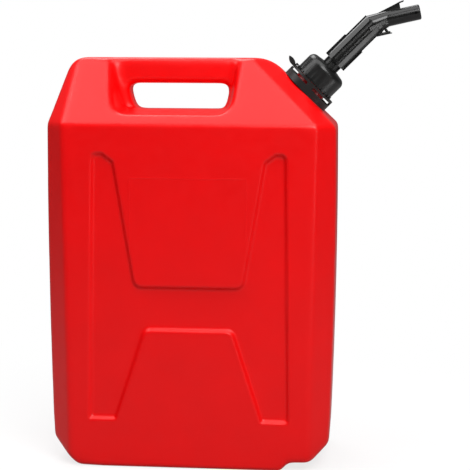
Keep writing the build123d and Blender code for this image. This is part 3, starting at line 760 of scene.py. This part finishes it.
# Floor and surround: a pale floor that the camera sees as white, fading in from the can's
# shadow, and a white world. Gloss shows only a tenth of that white, because the plastics look
# dark and full of colour.
FLOOR_REACH = 15.0
FLOOR_SEEN = "#FFFFFF"
FLOOR_LIT = "#A8A8A8"
FLOOR_ROUGHNESS = 0.9
FLOOR_GLOSS = 0.1
GLOW_NEAR = 0.78
SHADOW_FROM = 0.1
SHADOW_REACH = 0.7
ROOM_LIGHT = 0.10
REFLECTED_WHITE = 0.10


def seen_white(tree):
    """One for the camera, a share of it for gloss and glass, and nothing for light on the object."""
    path = add_node(tree, "ShaderNodeLightPath").outputs
    inputs = {0: path["Is Glossy Ray"], 1: path["Is Transmission Ray"]}
    gloss = add_node(tree, "ShaderNodeMath", inputs, operation="MAXIMUM").outputs[0]
    dimmed = add_node(tree, "ShaderNodeMath", {0: gloss, 1: REFLECTED_WHITE}, operation="MULTIPLY").outputs[0]
    inputs = {0: path["Is Camera Ray"], 1: dimmed}
    return add_node(tree, "ShaderNodeMath", inputs, operation="MAXIMUM").outputs[0]


def floor_material():
    """Matt white paint that glows to the camera, less so near the can, where its shadow shows."""
    material, tree, shader, place = new_material("white_floor")
    path = add_node(tree, "ShaderNodeLightPath").outputs
    inputs = {"Factor": path["Is Camera Ray"], MIX_FIRST: linear(FLOOR_LIT), MIX_SECOND: linear(FLOOR_SEEN)}
    colour = add_node(tree, "ShaderNodeMix", inputs, data_type="RGBA").outputs[MIX_RESULT]
    tree.links.new(colour, shader.inputs["Base Color"])
    shader.inputs["Roughness"].default_value = FLOOR_ROUGHNESS
    shader.inputs["Specular IOR Level"].default_value = FLOOR_GLOSS
    glow = add_node(tree, "ShaderNodeEmission", {"Color": linear(FLOOR_SEEN), "Strength": 1.0})
    away = add_node(tree, "ShaderNodeVectorMath", {0: place}, operation="LENGTH").outputs["Value"]
    inputs = {
        "Value": away, "From Min": SHADOW_FROM, "From Max": SHADOW_REACH,
        "To Min": GLOW_NEAR, "To Max": 1.0,
    }
    fade = add_node(tree, "ShaderNodeMapRange", inputs, interpolation_type="SMOOTHSTEP").outputs["Result"]
    inputs = {0: seen_white(tree), 1: fade}
    share = add_node(tree, "ShaderNodeMath", inputs, operation="MULTIPLY").outputs[0]
    mixed = add_node(tree, "ShaderNodeMixShader", {"Fac": share, 1: shader.outputs[0], 2: glow.outputs[0]})
    tree.links.new(mixed.outputs[0], tree.nodes["Material Output"].inputs["Surface"])
    return material


floor_mesh = bpy.data.meshes.new("floor")
floor_corners = [
    (-FLOOR_REACH, -FLOOR_REACH, 0), (FLOOR_REACH, -FLOOR_REACH, 0),
    (FLOOR_REACH, FLOOR_REACH, 0), (-FLOOR_REACH, FLOOR_REACH, 0),
]
floor_mesh.from_pydata(floor_corners, [], [(0, 1, 2, 3)])
floor_mesh.materials.append(floor_material())
floor = bpy.data.objects.new("floor", floor_mesh)
bpy.context.scene.collection.objects.link(floor)

world = bpy.data.worlds.new("studio")
bpy.context.scene.world = world
world.use_nodes = True
background = world.node_tree.nodes["Background"]
background.inputs["Color"].default_value = linear("#FFFFFF")
world_inputs = {"Value": seen_white(world.node_tree), "To Min": ROOM_LIGHT, "To Max": 1.0}
world_strength = add_node(world.node_tree, "ShaderNodeMapRange", world_inputs).outputs["Result"]
world.node_tree.links.new(world_strength, background.inputs["Strength"])


# Lamps: a softbox overhead and a large key at the upper right front light the red evenly. A
# weaker one at the upper left, a narrow strip at the right and one behind reach its edges.
# Two narrow-coned lamps light only the spout, for the bright bands on its barrel and elbow.
SNOOT_BLEND = 0.6


def hang(name, data, place, aim):
    """Hangs a lamp at a place, turned to what it aims at, out of the camera's sight."""
    made = bpy.data.objects.new(name, data)
    made.visible_camera = False
    made.location = place
    made.rotation_euler = (Vector(aim) - Vector(place)).to_track_quat("-Z", "Y").to_euler()
    bpy.context.scene.collection.objects.link(made)


def softbox(name, place, aim, width, height, power):
    """A rectangular softbox, with its power in watts."""
    data = bpy.data.lights.new(name, "AREA")
    data.shape = "RECTANGLE"
    data.size = width
    data.size_y = height
    data.energy = power
    hang(name, data, place, aim)


def snoot(name, place, aim, radius, cone, power):
    """A soft round lamp that lights no more than a cone, in degrees."""
    data = bpy.data.lights.new(name, "SPOT")
    data.shadow_soft_size = radius
    data.spot_size = math.radians(cone)
    data.spot_blend = SNOOT_BLEND
    data.energy = power
    hang(name, data, place, aim)


softbox("top_softbox", (0.1, -0.35, 1.9), (0.1, -0.1, 0.4), width=2.0, height=1.2, power=20)
softbox("key_softbox", (0.62, -1.45, 1.55), (0.05, 0, 0.25), width=1.0, height=0.9, power=26)
softbox("back_softbox", (-0.4, 1.0, 1.9), (0, 0.1, 0.2), width=1.0, height=0.8, power=12)
softbox("right_strip", (1.25, -1.4, 0.75), (0, 0, 0.25), width=0.08, height=1.4, power=4)
softbox("upper_left_softbox", (-0.95, -0.3, 1.6), (0.2, 0, 0.45), width=0.8, height=0.6, power=5.5)
snoot("barrel_lamp", (0.58, -0.21, 0.07), (0.19, 0, 0.47), radius=0.07, cone=24, power=0.9)
snoot("elbow_lamp", (0.496, -0.845, 0.305), (0.210, -0.012, 0.506), radius=0.04, cone=7, power=1.3)


# Camera: a long lens 1.6 m in front of the can, turned a little to the left and down. Its place
# and angles were fitted to the can's straight edges in the photograph.
CAMERA_PLACE = Vector((0.18878, -1.600, 0.46159))
CAMERA_YAW = math.radians(5.1175)
CAMERA_PITCH = math.radians(7.1407)
CAMERA_ROLL = math.radians(0.2659)
SENSOR_WIDTH = 36.0
LENS_LENGTH = 105.55

camera_data = bpy.data.cameras.new("camera")
camera_data.sensor_width = SENSOR_WIDTH
camera_data.lens = LENS_LENGTH
camera = bpy.data.objects.new("camera", camera_data)
bpy.context.scene.collection.objects.link(camera)
forward = Vector((
    -math.sin(CAMERA_YAW) * math.cos(CAMERA_PITCH),
    math.cos(CAMERA_YAW) * math.cos(CAMERA_PITCH),
    -math.sin(CAMERA_PITCH),
))
level = Vector((math.cos(CAMERA_YAW), math.sin(CAMERA_YAW), 0))
above = level.cross(forward)
right = level * math.cos(CAMERA_ROLL) + above * math.sin(CAMERA_ROLL)
above = above * math.cos(CAMERA_ROLL) - level * math.sin(CAMERA_ROLL)
camera_turn = Matrix((right, above, -forward)).transposed().to_4x4()
camera.matrix_world = Matrix.Translation(CAMERA_PLACE) @ camera_turn
bpy.context.scene.camera = camera
bpy.context.scene.view_settings.view_transform = "Standard"
